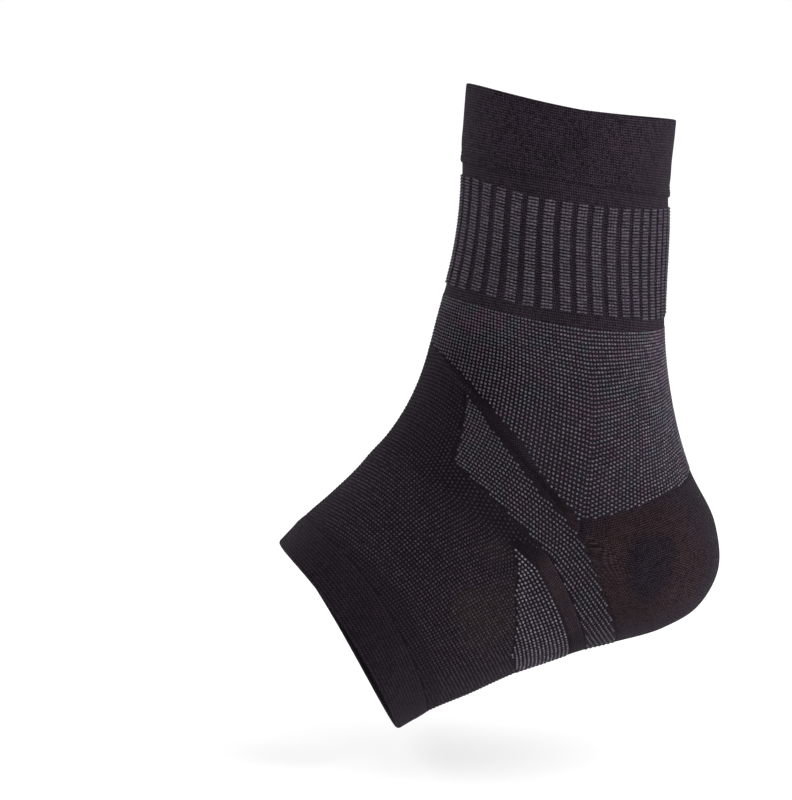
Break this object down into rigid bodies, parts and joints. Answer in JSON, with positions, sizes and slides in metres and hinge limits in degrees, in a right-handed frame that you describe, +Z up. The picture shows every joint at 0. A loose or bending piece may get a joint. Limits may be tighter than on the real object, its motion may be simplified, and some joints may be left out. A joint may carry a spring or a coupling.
{
  "type": "compression ankle sleeve",
  "caption": "Knitted open-toe ankle sleeve with a ribbed leg band, dotted ankle, strap and arch panels and a plain heel cup, in its worn form.",
  "frame": {"origin": "centre of the ankle, in the middle of the hollow, where the wearer's ankle holds the sleeve", "axes": "+Z up the leg, toes toward -X, outer side of the left ankle toward -Y"},
  "size_m": [0.1619, 0.0788, 0.2318],
  "materials": {
    "cuff_knit": "fine black double knit, matt",
    "rib_knit": "ribbed knit, grey ribs on black, matt",
    "ankle_knit": "black knit with rows of raised grey dots, matt",
    "heel_knit": "fine black knit, matt",
    "strap_knit": "black knit with rows of raised grey dots, matt",
    "arch_knit": "black knit with rows of raised grey dots, matt",
    "foot_knit": "fine black knit, matt",
    "hem_knit": "fine black turned knit, matt"
  },
  "bodies": {
    "root": {"top_cuff": "cuff_knit", "rib_band": "rib_knit", "ankle_panel": "ankle_knit", "heel_cup": "heel_knit", "stirrup_strap": "strap_knit", "arch_panel": "arch_knit", "foot_body": "foot_knit", "foot_hem": "hem_knit"}
  },
  "joints": []
}
